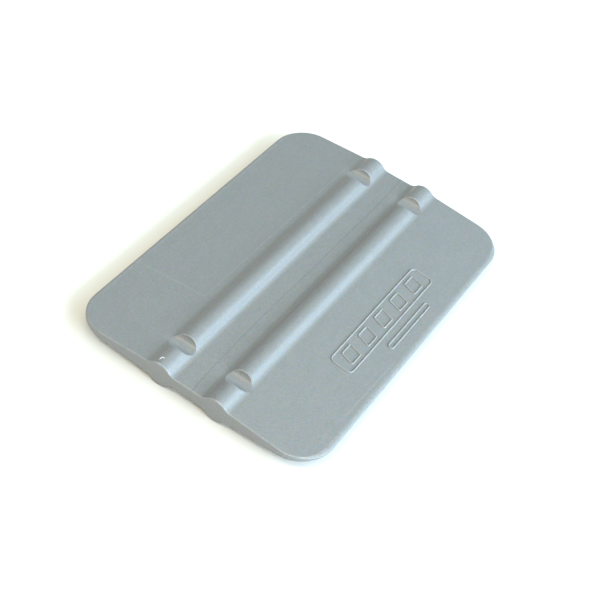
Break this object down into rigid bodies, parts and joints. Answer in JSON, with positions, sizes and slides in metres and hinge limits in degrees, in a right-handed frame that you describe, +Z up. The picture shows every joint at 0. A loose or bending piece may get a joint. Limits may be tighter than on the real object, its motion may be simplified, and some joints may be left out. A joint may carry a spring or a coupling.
{
  "type": "squeegee applicator card",
  "caption": "Flat one-piece plastic applicator card with rounded corners, thin working edges, and two round finger ribs that stand out of both faces.",
  "frame": {"origin": "middle of the card in plan, on the table that the lower rib crests rest on", "axes": "+Y along the ribs and the two long working edges, +X across the ribs towards the working edge beside the raised mark, +Z up through the card's thickness"},
  "size_m": [0.071, 0.1, 0.0075],
  "materials": {
    "card_plastic": "fine matte moulded grey plastic"
  },
  "bodies": {
    "root": {"squeegee_card": "card_plastic"}
  },
  "joints": []
}
